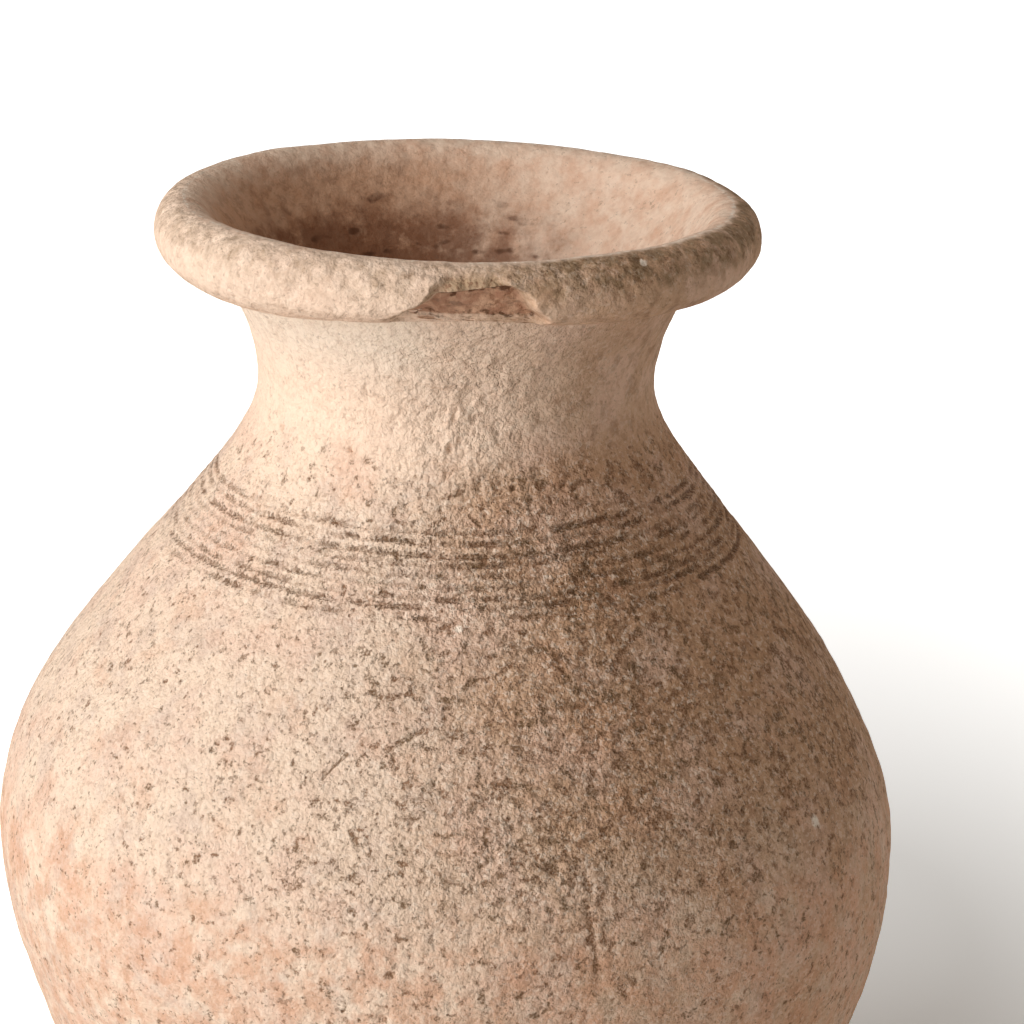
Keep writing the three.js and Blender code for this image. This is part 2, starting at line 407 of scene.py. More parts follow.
def near_lines(points, lines):
    """1 on the middle of the nearest line, falling evenly to 0 at its half width."""
    most = np.zeros(points.shape[:-1])
    for first_bearing, first_height, last_bearing, last_height, width in lines:
        start = wall_point(first_bearing, first_height)
        way = wall_point(last_bearing, last_height) - start
        share = np.clip((points - start) @ way / (way @ way), 0, 1)
        gap = np.linalg.norm(points - start - share[..., None] * way, axis=-1)
        most = np.maximum(most, 1 - gap / width)
    return most


def near_places(points, places):
    most = np.zeros(points.shape[:-1])
    for bearing, height, radius in places:
        gap = np.linalg.norm(points - wall_point(bearing, height), axis=-1)
        most = np.maximum(most, 1 - gap / radius)
    return most


# The flake broken out of the collar, as (bearing, height below the crest) of its outline
CHIP_LEFT = ((-14.0, -7.6), (-10.5, -6.3), (-7.8, -5.2), (-6.0, -4.2), (-4.9, -3.1), (-4.3, -2.2))
CHIP_TOP = ((-4.2, -3.2), (-1.2, -2.95), (3.0, -2.5), (8.6, -2.0), (9.2, -2.0))
CHIP_RIGHT = ((18.0, -7.4), (14.3, -5.0), (13.2, -3.3), (9.2, -2.0))
CHIP_WALL = 2.4
# Bearings of the dashes of painted shade in the gaps under the chip's top ledge
GAP_SHADE_DASHES = ((-1.6, 0.2), (1.9, 5.9), (6.3, 10.6))
SCAR_TOP = ((-4.6, -2.4), (-3.4, -1.5), (-1.5, -0.75), (3.0, -0.65), (7.0, -0.9), (9.6, -2.1))


def side_bearing(outline, drop):
    bearings, drops = zip(*sorted(outline, key=lambda corner: corner[1]))
    return np.interp(drop, drops, bearings)


def chip(points, bearing, drop):
    """How far inside the broken place a point is, from 0 on sound clay to 1 on its floor, and
    its left wall, which the light doesn't reach and on which shade is painted."""
    ragged = 0.45 * noise(points, 2.2, 401, 3)
    left = side_bearing(CHIP_LEFT, drop) + ragged
    right = side_bearing(CHIP_RIGHT, drop) + ragged
    top = np.interp(bearing, *zip(*CHIP_TOP)) + 0.35 * ragged
    from_left = rise(bearing - left, 0.0, CHIP_WALL)
    from_right = rise(right - bearing, 0.0, CHIP_WALL)
    from_top = rise(top - drop, 0.0, 0.35)
    wall = hump(bearing - left, 0.7, 0.8) * rise(drop, -8.0, -6.8) * fall(drop, -2.6, -1.8)
    return from_left * from_right * from_top, wall


def upper_scar(points, bearing, drop):
    """The shallow rough scar between the flake and the crest."""
    ragged = 0.22 * noise(points, 1.8, 411, 2)
    top = np.interp(bearing, *zip(*SCAR_TOP), left=-20, right=-20)
    return rise(top - drop + ragged, 0, 0.9) * rise(drop, -4.5, -3.5)


# Sides of the jar, by the bearing that each one faces most; the weathered side also faces away
# from the light, so its share paints shade as well as weathering
WEATHERED_AND_SHADED_BEARING = 65
SHADED_BEARING = 85
BLURRED_BEARING = 95

# Zones of the jar, as the heights between which each one begins or ends
BODY_END = (133, 139)
COMB_START = (118, 121)
COMB_END = (130, 134)
NECK_START = (132, 143)
# Where the painted light under the collar begins
NECK_LIGHT_START = (145, 155)
# The low body's painted bounce light fades out between these heights
BOUNCE_LIGHT_END = (78, 100)
REDDER_END = (78, 92)
RIM_START = (140, 163)

# The flaked patch on the front of the neck: its bearing, half width and zone
PATCH_BEARING = 4
PATCH_WIDTH = 17
PATCH_START = (134, 142)
PATCH_END = (157, 160)

# How deep the small marks are
PIT_DEPTH = 0.2
SPOT_DEPTH = 0.45
SCRATCH_DEPTH = 0.25
RIDGE_HEIGHT = 0.22
FLAKE_DEPTH = 0.34
CHIP_FLOOR_OFFSET = 1.0


def stations(track, lengths, bearings):
    """Where the points of a stretch are before any relief, and which part they belong to."""
    at = SimpleNamespace(rim=track is INNER)
    at.bearing = np.broadcast_to(bearings, (len(lengths), len(bearings)))
    at.angle = np.radians(at.bearing)
    at.along, at.radius, height, at.out_r, at.out_z = [
        np.broadcast_to(values[:, None], at.angle.shape)
        for values in (np.asarray(lengths), *track.at(lengths))
    ]
    across = at.radius * np.sin(at.angle)
    at.ring = np.stack([across, -at.radius * np.cos(at.angle), height], -1)
    at.collar = (at.along <= CREST) & at.rim
    at.inner = rise(at.along - CREST, -1.4, 0.5) * at.rim
    at.outer_wall = (at.along > WALL_START) & (not at.rim)

    # the collar's lower half hangs by a share that changes round the rim
    widest_height = TOTAL_HEIGHT - WIDEST_DROP
    below = np.where(at.collar & (height < widest_height), height - widest_height, 0)
    height = height + below * (collar_drop(at.bearing) - 1)
    at.height = height + rim_rise(at.bearing) * rise(height, *RIM_START)
    at.drop = at.height - TOTAL_HEIGHT
    return at


def facing(at):
    """How far each point faces the jar's different sides, and where the rough patch is."""
    sides = (WEATHERED_AND_SHADED_BEARING, SHADED_BEARING, BLURRED_BEARING)
    weathered, shaded, blurred = [np.cos(np.radians(at.bearing - side)) for side in sides]
    at.weathered = rise(weathered, -0.1, 1.05)
    at.shaded = rise(shaded, 0, 0.6)
    at.blurred = rise(blurred, 0.35, 0.85)
    patch = around(at.bearing, PATCH_BEARING, PATCH_WIDTH)
    patch = patch * rise(at.height, *PATCH_START) * fall(at.height, *PATCH_END) * at.outer_wall
    at.patch = patch * (0.45 + 0.55 * rise(noise(at.ring, 6, 31, 2), -0.4, 0.3))


def unevenness(at):
    """Depth of the broad unevenness, the throwing ridges, the roughness and the flaking."""
    depth = -0.17 * noise(at.ring, 34, 11) - 0.11 * noise(at.ring, 12, 12)
    depth -= 0.06 * noise(at.ring * (0.16, 0.16, 1), 3.2, 13)
    depth -= (0.05 + 0.04 * at.weathered + 0.16 * at.patch) * noise(at.ring, 2.2, 14, 3)
    flakes = rise(noise(at.ring * (1, 1, 0.6), 3.2, 15, 3), 0.0, 0.14)
    return depth + FLAKE_DEPTH * at.patch * flakes


def small_marks(at):
    """Depth of the pits, scratches, ridges and combed lines, which are kept to be painted."""
    at.pit = pits(at.ring, 3.8, 51, 0.16, 0.45, 0.9) * (1 - at.inner)
    at.spot = near_places(at.ring, SPOTS) * at.outer_wall
    at.scratch = near_lines(at.ring, SCRATCHES) * at.outer_wall
    ridge = near_lines(at.ring, RIDGES) * at.outer_wall
    at.comb_height, comb, at.comb_worn = combing(at.ring, at.height, at.bearing)
    depth = PIT_DEPTH * at.pit + SPOT_DEPTH * np.clip(at.spot * 2, 0, 1)
    depth += SCRATCH_DEPTH * at.scratch - RIDGE_HEIGHT * ridge
    return depth + COMB_DEPTH * comb * at.outer_wall


def fracture(at):
    """Depth of the scar over the chip, with the chip's floor, and the painted shade in its gaps
    and along its crease, kept for later.
    """
    broken, wall = [share * at.collar for share in chip(at.ring, at.bearing, at.drop)]
    scar = upper_scar(at.ring, at.bearing, at.drop) * at.collar * (1 - broken)
    crease = broken * hump(at.drop, -7.1 + 0.3 * noise(at.ring, 3, 423), 0.65)
    chip_floor = flare_radius(at.height) + CHIP_FLOOR_OFFSET - 0.3 * crease
    at.chip_floor = chip_floor + 0.45 * noise(at.ring, 2.2, 421, 3)
    under_ledge = at.drop - np.interp(at.bearing, *zip(*CHIP_TOP))
    # Painted shade in the gaps under the top ledge
    void = broken * hump(under_ledge + 0.3 * noise(at.ring, 2.4, 425), -1.0, 0.4)
    dashes = [between(at.bearing, start, end, 0.7) for start, end in GAP_SHADE_DASHES]
    void = void * np.maximum.reduce(dashes)
    crease = crease * (0.35 + 0.65 * rise(noise(at.ring, 1.5, 426, 2), -0.2, 0.3))
    at.broken = broken
    # Painted shade in the gaps under the ledge and along the crease at the chip's foot
    at.void = np.maximum(1.3 * void, 0.6 * crease)
    at.core = broken**3 * rise(at.drop, -7.5, -7.1) * (1 - wall)
    # The scar's tan also paints shade on the chip's left wall
    at.scar = np.maximum.reduce([scar, broken * (1 - broken**3), wall])
    return scar * (0.65 + 0.3 * noise(at.ring, 1.9, 422, 3))


def zones(at):
    """How far each point belongs to the zones that are painted alike."""
    height = at.height
    at.body = fall(height, *BODY_END) * at.outer_wall
    at.upper = rise(height, *NECK_START) * (at.outer_wall | at.rim)
    at.comb_band = rise(height, *COMB_START) * fall(height, *COMB_END) * at.outer_wall
    # Painted light: the low body, most on the shaded side, is made paler as if lit by light
    # bounced from the floor
    at.low = fall(height, *BOUNCE_LIGHT_END) * at.outer_wall * (0.4 + 0.6 * at.shaded)
    at.redder = fall(height, *REDDER_END) * at.outer_wall
    at.smooth = np.clip(near_places(at.ring, SMOOTH_PLACES) * 1.6, 0, 1) * at.collar
    dust = 0.12 + rise(at.drop, -5.2, -1.8) * (0.25 + 0.63 * rise(at.weathered, 0.45, 0.95))
    at.dust = dust * (1 - at.inner) * at.rim
    at.lip_dirt = hump(at.along - CREST, 1.4, 1.3) * around(at.bearing, -92, 36) * at.rim


def grime(at):
    """How much brown patina the hollows hold, before the patina's own patches."""
    amount = 0.26 + (0.34 * at.weathered + 0.1 * around(at.bearing, 8, 42)) * at.body
    # The low body's painted bounce light also takes patina away
    amount -= 0.2 * at.comb_band + 0.16 * at.upper + 0.3 * at.low
    amount += 0.08 * noise(at.ring, 17, 61, 2)
    amount += 0.07 * around(at.bearing, -20, 14) * rise(at.height, 74, 84) * at.body
    amount -= 0.1 * around(at.bearing, 0, 8) * hump(at.height, 113, 9)
    amount += 0.35 * at.dust + 0.4 * at.lip_dirt
    amount *= (1 - 0.7 * at.smooth) * (1 - 0.6 * at.inner * (1 - at.lip_dirt))
    return np.clip(amount, 0, 1)


def roughness(at):
    """How strong the grain is, in colour and in relief."""
    amount = at.body * (0.5 + 0.37 * at.weathered) + 0.2 * at.comb_band + 0.25 * at.patch
    amount += (1 - at.body) * at.outer_wall * (0.45 + 0.25 * at.weathered)
    amount += 0.4 * at.rim + 0.4 * at.lip_dirt
    amount *= (1 - 0.6 * at.smooth) * (1 - 0.4 * at.blurred)
    amount *= (1 - 0.35 * at.redder) * (1 - 0.5 * at.inner)
    return np.clip(amount, 0, 1)


def shade(at):
    """From 0 on clean cream clay to 1 on the tan of the weathered side, which faces away from the
    light: painted shade as well as weathering.
    """
    amount = at.weathered ** (1 + 1.6 * at.upper * at.outer_wall)
    # The low body's painted bounce light takes tan away here
    amount += 0.4 * at.smooth - 0.4 * at.low
    return np.clip(amount * (1 - 0.92 * at.inner), 0, 1)


def mouth_shade_and_stains(at):
    """Painted shade in the mouth on the side without light, and a second share that grows further
    down, on that side and lower on the other, for shade and stains together.
    """
    across = np.sin(at.angle)
    mouth_shade = fall(at.height, 163, 169) * fall(across, -0.5, 0.6)
    deep = 0.75 * fall(at.height, 152, 167) * fall(across, -0.45, 0.6)
    deep += 0.55 * fall(at.height, 155, 163) * fall(across, 0.4, 0.85)
    return at.inner * mouth_shade, at.inner * deep


def paint(at):
    """The masks that the clay material reads."""
    zones(at)
    mouth_shade, deep = mouth_shade_and_stains(at)
    outer_rim = at.rim * (1 - at.inner)
    # Painted highlight along the crest of the rim, where light catches its edge
    crest_highlight = 0.38 * hump(at.along - CREST, 0.2, 0.5) * at.rim
    ruddy = near_places(at.ring, RUDDY_PLACES) * at.outer_wall
    return {
        "comb_height": at.comb_height,
        "comb_worn": at.comb_worn * at.outer_wall,
        "scratch": np.maximum(at.scratch, 0.9 * at.spot),
        "pit": at.pit,
        "core": at.core,
        "scar": at.scar,
        "void": at.void,
        "grime": grime(at),
        "shady": shade(at),
        "rough": roughness(at),
        "lumps": 0.35 + 0.3 * at.body * at.weathered + 0.5 * at.patch + 0.28 * outer_rim,
        "ruddy": np.maximum(ruddy, 0.8 * at.redder + 0.5 * at.inner),
        "pale": np.maximum(near_places(at.ring, PALE_PLACES), crest_highlight),
        "mouth_shade": mouth_shade,
        "deep": deep,
        "upper": at.upper * (1 - 0.4 * at.dust) * (1 - 0.35 * at.weathered * outer_rim),
        # painted light under the collar, on the lit side
        "neck_painted_light": rise(at.height, *NECK_LIGHT_START) * at.outer_wall,
        "dust": at.dust,
    }


def skin(track, lengths, bearings):
    """Points and painted masks of the weathered surface along a stretch of a track."""
    at = stations(track, lengths, bearings)
    facing(at)
    depth = unevenness(at) + small_marks(at) + fracture(at)
    radius = at.radius - depth * at.out_r
    at.height = np.maximum(at.height - depth * at.out_z, 0)
    radius = radius - np.maximum(radius - at.chip_floor, 0) * at.broken
    x = radius * np.sin(at.angle) + lean(at.height)
    y = -radius * np.cos(at.angle)
    return np.stack([x, y, at.height], -1), paint(at)


def added(name, data):
    """A new object in the scene."""
    made = bpy.data.objects.new(name, data)
    bpy.context.scene.collection.objects.link(made)
    return made


# Grids

def columns(*spans):
    """Bearings of the columns of a grid, from spans of (start, end, step)."""
    parts = [np.linspace(a, b, round((b - a) / step), endpoint=False) for a, b, step in spans]
    return np.concatenate(parts)


def rows(*spans):
    """Lengths of the rows of a grid, from spans of (start, end, count)."""
    parts = [np.linspace(a, b, count, endpoint=False) for a, b, count in spans]
    return np.concatenate([*parts, [spans[-1][1]]])


BACK_COLUMNS = (88, 272, 1.15)
BODY_COLUMNS = columns((-88, 88, 0.44), BACK_COLUMNS)
COLLAR_COLUMNS = columns((-88, -20, 0.6), (-20, 24, 0.2), (24, 88, 0.6), BACK_COLUMNS)


def grid_normals(points):
    """Unit normals of a grid of points, by differences along its rows and columns."""
    across = np.roll(points, -1, axis=1) - np.roll(points, 1, axis=1)
    normal = np.cross(across, np.gradient(points, axis=0))
    return normal / np.maximum(np.linalg.norm(normal, axis=-1, keepdims=True), 1e-12)


def stretch(track, lengths, bearings=BODY_COLUMNS):
    """A visible stretch of the skin, with a row more at both ends for its normals."""
    before = 2 * lengths[0] - lengths[1]
    after = 2 * lengths[-1] - lengths[-2]
    wide = np.clip([before, *lengths, after], 0, track.length[-1])
    points, masks = skin(track, wide, bearings)
    masks = {name: mask[1:-1] for name, mask in masks.items()}
    return points[1:-1], grid_normals(points)[1:-1], masks


def hidden(points):
    """A hidden stretch inside a seam, as a grid of points without masks."""
    return points, grid_normals(points), {}


def bridge(start, end, sink):
    """Two rows between edges of a piece, sunk a little along Z so that seams don't touch."""
    shares = np.linspace(0, 1, 4)[1:-1, None, None]
    return hidden(start * (1 - shares) + end * shares + (0, 0, sink))


def mesh_object(name, stretches, closed):
    """A mesh from stretches of one grid, the first of them a visible one. A closed grid joins
    its last row to its first; an open one has all of its first and last rows at a pole."""
    points = np.concatenate([s[0] for s in stretches])
    normals = np.concatenate([s[1] for s in stretches])
    height, width = points.shape[:2]
    index = np.arange(height * width).reshape(height, width)
    if closed:
        low, high = index, np.roll(index, -1, axis=0)
    else:
        index[0] = index[0, 0]
        index[-1] = index[-1, 0]
        low, high = index[:-1], index[1:]
    faces = np.stack([low, np.roll(low, -1, 1), np.roll(high, -1, 1), high], -1).reshape(-1, 4)
    used = np.unique(faces)
    renumber = np.zeros(height * width, int)
    renumber[used] = np.arange(len(used))
    corners = [list(dict.fromkeys(face)) for face in renumber[faces].tolist()]
    mesh = bpy.data.meshes.new(name)
    mesh.from_pydata((points.reshape(-1, 3)[used] * MM).tolist(), [], corners)
    for mask in stretches[0][2]:
        painted = [s[2].get(mask, np.zeros(s[0].shape[:2])) for s in stretches]
        values = np.concatenate(painted).reshape(-1)[used]
        layer = mesh.attributes.new(mask, "FLOAT", "POINT")
        layer.data.foreach_set("value", values.astype(np.float32))
    mesh.normals_split_custom_set_from_vertices(normals.reshape(-1, 3)[used].tolist())
    return added(name, mesh)


# Pieces, each a closed solid between its seams: where they begin and end along the tracks

OUT_BASE = OUTER.length_at(BASE_SEAM, FLAT_RADIUS)
OUT_SHOWN = OUTER.length_at(50, OUT_BASE)
OUT_BELLY = OUTER.length_at(BELLY_SEAM, FLAT_RADIUS)
OUT_COMB = OUTER.length_at(COMB_LINES[-1][0] - 1.2, OUT_BELLY)
OUT_COMB_END = OUTER.length_at(COMB_LINES[0][0] + 1.0, OUT_BELLY)
OUT_NECK = OUTER.length_at(NECK_SEAM, FLAT_RADIUS)
OUT_LIP = OUTER.length[-1]
IN_LIP = INNER.length_at(TOTAL_HEIGHT - 3.0, CREST)
IN_THROAT = INNER.length_at(138, CREST)
IN_NECK = INNER.length_at(NECK_SEAM - 3.0, CREST)
IN_BELLY = INNER.length_at(BELLY_SEAM + 4.0, CREST)
IN_FLOOR = INNER.length_at(BASE_SEAM + 5.5, CREST)


def ring_of_wall(name, outer_rows, inner_rows):
    """A piece open at the top and the bottom, where its seams close it."""
    wall = stretch(OUTER, outer_rows)
    inside = stretch(INNER, inner_rows)
    top = bridge(wall[0][-1], inside[0][0], -SEAM_SINK)
    bottom = bridge(inside[0][-1], wall[0][0], SEAM_SINK)
    return mesh_object(name, [wall, top, inside, bottom], closed=True)


def base_disc():
    under = stretch(OUTER, rows((0, FLAT_RADIUS, 14)))
    edge = stretch(OUTER, rows((FLAT_RADIUS + 0.3, OUT_BASE, 14)))
    inside = stretch(INNER, rows((IN_FLOOR, INNER.length[-1], 26)))
    seam = bridge(edge[0][-1], inside[0][0], -SEAM_SINK)
    return mesh_object("jar_base", [under, edge, seam, inside], closed=False)


def lower_body():
    wall = rows((OUT_BASE, OUT_SHOWN, 60), (OUT_SHOWN, OUT_BELLY, 60))
    return ring_of_wall("jar_lower_body", wall, rows((IN_BELLY, IN_FLOOR, 16)))


def upper_body():
    combed = (OUT_COMB, OUT_COMB_END, 56)
    wall = rows((OUT_BELLY, OUT_COMB, 98), combed, (OUT_COMB_END, OUT_NECK, 3))
    return ring_of_wall("jar_upper_body", wall, rows((IN_NECK, IN_BELLY, 14)))


def neck():
    mouth = (IN_LIP, IN_THROAT, 60)
    inside = rows(mouth, (IN_THROAT, IN_NECK, 10))
    return ring_of_wall("jar_neck", rows((OUT_NECK, OUT_LIP, 98)), inside)


def rim_collar():
    """The folded collar; its hidden side follows the neck's flare at the slip's thickness."""
    shown = stretch(INNER, rows((0, IN_LIP, 132)), COLLAR_COLUMNS)
    foot_height = shown[0][0][:, 2]
    lip_height = TOTAL_HEIGHT - LIP_SEAM_DROP
    shares = np.linspace(0, 1, 7)[:, None]
    height = lip_height * (1 - shares) + (foot_height + 1.0) * shares
    radius = flare_radius(height) + SEAM_GAP
    angle = np.radians(COLLAR_COLUMNS)
    shift = lean(height)
    height = height + rim_rise(COLLAR_COLUMNS) * rise(height, *RIM_START)
    grip = np.stack([radius * np.sin(angle) + shift, -radius * np.cos(angle), height], -1)
    return mesh_object("jar_collar", [shown, hidden(grip)], closed=True)


# Fired clay

def srgb(red, green, blue):
    """A colour as it looks on a screen, 0 to 255, as a linear colour."""
    linear = []
    for value in (red, green, blue):
        value /= 255
        linear.append(value / 12.92 if value <= 0.04045 else ((value + 0.055) / 1.055) ** 2.4)
    return (*linear, 1.0)


CREAM = srgb(244, 218, 194)
TAN = srgb(198, 156, 122)
PINKISH = srgb(236, 198, 176)
GREYISH = srgb(212, 188, 172)
RUDDY = srgb(216, 160, 126)
PALE = srgb(250, 231, 212)
UPPER_PALE = srgb(251, 223, 199)
# Colour of the painted light under the collar
NECK_LIGHT = srgb(253, 237, 217)
SAND_DARK = srgb(140, 100, 70)
PATINA = srgb(134, 96, 68)
FLECK = srgb(108, 76, 50)
OLIVE = srgb(118, 90, 62)
CORE_RED = srgb(174, 124, 96)
CORE_TAN = srgb(204, 160, 130)
SCAR_TAN = srgb(176, 146, 114)
# Brown of the core's streaks and of the painted shade in the chip's gaps
STREAK_AND_SHADE_BROWN = srgb(92, 60, 40)
# Colours of the painted shade inside the mouth, the second also of its stains
MOUTH_SHADE_TONE = srgb(206, 154, 116)
STAIN_AND_SHADE = srgb(122, 74, 46)
BLOT = srgb(84, 50, 32)
SMEAR = srgb(188, 146, 118)
DUST = srgb(160, 130, 100)


class Nodes:
    """Builds the nodes of a material or of the world. A value is a socket or a constant."""

    def __init__(self, owner):
        owner.use_nodes = True
        self.tree = owner.node_tree
        self.tree.nodes.clear()

    def node(self, kind, values, **settings):
        """A node with its settings and with values on its inputs, by their names or numbers."""
        made = self.tree.nodes.new(kind)
        for name, setting in settings.items():
            setattr(made, name, setting)
        for name, value in values.items():
            if isinstance(value, bpy.types.NodeSocket):
                self.tree.links.new(value, made.inputs[name])
            else:
                made.inputs[name].default_value = value
        return made

    def math(self, operation, first, second, clamp=False):
        values = {0: first, 1: second}
        made = self.node("ShaderNodeMath", values, operation=operation, use_clamp=clamp)
        return made.outputs[0]

    def plus(self, first, second):
        return self.math("ADD", first, second)

    def minus(self, first, second, clamp=False):
        return self.math("SUBTRACT", first, second, clamp)

    def times(self, first, second, clamp=False):
        return self.math("MULTIPLY", first, second, clamp)

    def most(self, first, second):
        return self.math("MAXIMUM", first, second)

    def vector(self, operation, first, second):
        values = {0: first, 1: second}
        return self.node("ShaderNodeVectorMath", values, operation=operation).outputs[0]

    def scaled(self, vector, scale):
        values = {0: vector, "Scale": scale}
        return self.node("ShaderNodeVectorMath", values, operation="SCALE").outputs[0]

    def ramp(self, value, low, high, start=0.0, end=1.0, kind="SMOOTHSTEP"):
        values = dict(enumerate((value, low, high, start, end)))
        return self.node("ShaderNodeMapRange", values, interpolation_type=kind).outputs[0]

    def mix(self, share, first, second):
        values = {"Factor": share, 6: first, 7: second}
        return self.node("ShaderNodeMix", values, data_type="RGBA").outputs[2]


class Clay(Nodes):
    """Nodes of the clay material; lengths are in millimetres."""

    def __init__(self, material):
        super().__init__(material)
        coordinates = self.node("ShaderNodeTexCoord", {}).outputs["Object"]
        self.place = self.scaled(coordinates, 1 / MM)

    def mask(self, name):
        return self.node("ShaderNodeAttribute", {}, attribute_name=name).outputs["Fac"]

    def noise(self, size, detail, rough, offset, stretched=(1, 1, 1)):
        """Noise around a half; the offset sets it apart from the other noises."""
        place = self.vector("MULTIPLY", self.place, stretched)
        place = self.vector("ADD", place, (offset, offset * 0.7, offset * 0.3))
        values = {"Vector": place, "Scale": 1 / size, "Detail": detail, "Roughness": rough}
        return self.node("ShaderNodeTexNoise", values).outputs["Fac"]

    def swing(self, noise, amount):
        """Noise around a half, turned into a swing around nothing."""
        return self.times(self.minus(noise, 0.5), amount)

    def colour_noise(self, size, detail, offset):
        values = {"Vector": self.vector("ADD", self.place, (offset,) * 3)}
        values.update({"Scale": 1 / size, "Detail": detail})
        return self.node("ShaderNodeTexNoise", values).outputs["Color"]

    def cells(self, place, cell):
        """How far the middle of the nearest grain is, in cells, and a random number of it."""
        values = {"Vector": place, "Scale": 1 / cell}
        made = self.node("ShaderNodeTexVoronoi", values, feature="F1")
        lot = self.node("ShaderNodeSeparateColor", {0: made.outputs["Color"]})
        return made.outputs["Distance"], lot.outputs[0]


# The clay's layers, from its ground outwards

COARSE_GRAIN = 0.62
FINE_GRAIN = 0.34

# How far from a comb line its dark ends and is full
COMB_INK = (0.44, 0.18)


def ground(clay, shady, upper):
    """Cream on the clean side and tan on the weathered one, which faces away from the light, in
    soft clouds; the tan is painted shade as well as weathering. The pale neck is paler on the lit
    side, and lightest just under the collar there, as painted light.
    """
    side = clay.plus(shady, clay.swing(clay.noise(16, 4, 0.6, 40), 0.9))
    colour = clay.mix(clay.ramp(side, 0, 1), CREAM, TAN)
    pinker = clay.ramp(clay.noise(11, 3, 0.6, 15), 0.46, 0.66, 0, 0.5)
    colour = clay.mix(pinker, colour, PINKISH)
    greyer = clay.ramp(clay.noise(6, 4, 0.65, 90), 0.46, 0.66, 0, 0.5)
    greyer = clay.times(greyer, clay.minus(1, shady, clamp=True))
    colour = clay.mix(greyer, colour, GREYISH)
    # Painted light as well as the neck's own pale clay: most of it on the lit side, less where
    # the shade is painted.
    pale_neck_lit_side = clay.times(upper, clay.ramp(shady, 0, 1, 0.8, 0.25))
    colour = clay.mix(pale_neck_lit_side, colour, UPPER_PALE)
    # Painted light: the top of the neck just under the collar is lightened on the lit side only,
    # against the collar's shadow.
    neck_painted_light = clay.times(clay.mask("neck_painted_light"), clay.ramp(shady, 0, 0.08, 0.8, 0))
    return clay.mix(neck_painted_light, colour, NECK_LIGHT)


def reddened(clay, colour, upper):
    """Redder drifts, fewer on the neck, and ragged redder places low on the body."""
    drifts = clay.ramp(clay.noise(8, 4, 0.6, 33), 0.5, 0.7, 0, 0.35)
    drifts = clay.times(drifts, clay.ramp(upper, 0, 1, 1, 0.45))
    ragged = clay.times(clay.minus(clay.noise(3.6, 5, 0.66, 12), 0.4), 9)
    places = clay.ramp(clay.times(clay.mask("ruddy"), ragged), -0.4, 1.7, 0, 0.66)
    return clay.mix(clay.most(drifts, places), colour, RUDDY)


def soiled(clay, colour, shady, upper):
    """Brown mottle on the weathered side away from the light, which deepens its painted shade,
    smears on the neck, more of them on that side, and dust on the collar.
    """
    mottle = clay.ramp(clay.noise(2.8, 3, 0.6, 55), 0.5, 0.66, 0, 0.35)
    colour = clay.mix(clay.times(mottle, shady), colour, PATINA)
    smear = clay.ramp(clay.noise(1.5, 4, 0.62, 88), 0.5, 0.62, 0, 0.36)
    smear = clay.times(smear, clay.ramp(shady, 0, 1, 0.45, 1))
    colour = clay.mix(clay.times(smear, upper), colour, SMEAR)
    cloudy = clay.plus(0.65, clay.swing(clay.noise(2.2, 4, 0.66, 66), 6))
    return clay.mix(clay.times(clay.mask("dust"), cloudy, clamp=True), colour, DUST)


def sand(clay):
    """The coarse and the fine grains: how far the nearest ones are, and their mean tone."""
    warp = clay.vector("SUBTRACT", clay.colour_noise(0.7, 2, 9), (0.5, 0.5, 0.5))
    loose = clay.vector("ADD", clay.place, clay.scaled(warp, 0.8))
    coarse_gap, coarse_tone = clay.cells(loose, COARSE_GRAIN)
    fine_gap, fine_tone = clay.cells(loose, FINE_GRAIN)
    tone = clay.plus(clay.times(coarse_tone, 0.5), clay.times(fine_tone, 0.5))
    return coarse_gap, fine_gap, tone


def sanded(clay, colour, tone, rough, upper):
    """Single grains that are paler or darker than the ground."""
    sandy = clay.times(rough, clay.ramp(upper, 0, 1, 0.7, 0.42))
    colour = clay.mix(clay.times(clay.ramp(tone, 0.52, 0.95), sandy), colour, PALE)
    return clay.mix(clay.times(clay.ramp(tone, 0.45, 0), sandy), colour, SAND_DARK)


def comb_shade(clay):
    """How dark the combing is, by how near the nearest line is."""
    height = clay.mask("comb_height")
    nearest = 99.0
    for line, _ in COMB_LINES:
        gap = clay.math("ABSOLUTE", clay.minus(height, line), 0)
        nearest = clay.math("MINIMUM", gap, nearest)
    nearest = clay.plus(nearest, clay.swing(clay.noise(0.42, 2, 0.66, 77), 1.6))
    dashes = clay.ramp(clay.noise(1.6, 3, 0.6, 63), 0.38, 0.5)
    worn = clay.times(clay.mask("comb_worn"), dashes)
    return clay.times(clay.ramp(nearest, *COMB_INK), worn)


def patina_share(clay, dirty, groove, bare):
    """Patina in the hollows, the grooves and the scratches, in granular patches."""
    grain = clay.ramp(clay.noise(0.34, 1, 0.6, 29), 0.4, 0.56)
    caught = clay.most(clay.times(groove, 0.1), clay.times(clay.mask("scratch"), 0.3))
    caught = clay.most(caught, clay.times(clay.mask("pit"), 0.12))
    limit = clay.minus(clay.ramp(dirty, 0, 1, 0.61, 0.46), caught)
    share = clay.ramp(clay.minus(clay.noise(1.4, 5, 0.62, 3), limit), -0.01, 0.09)
    share = clay.times(share, clay.plus(0.4, clay.times(grain, 0.6)))
    beaded = clay.times(groove, clay.ramp(grain, 0, 1, 0.5, 1))
    return clay.times(clay.most(share, beaded), clay.ramp(bare, 0, 1, 0.3, 1))


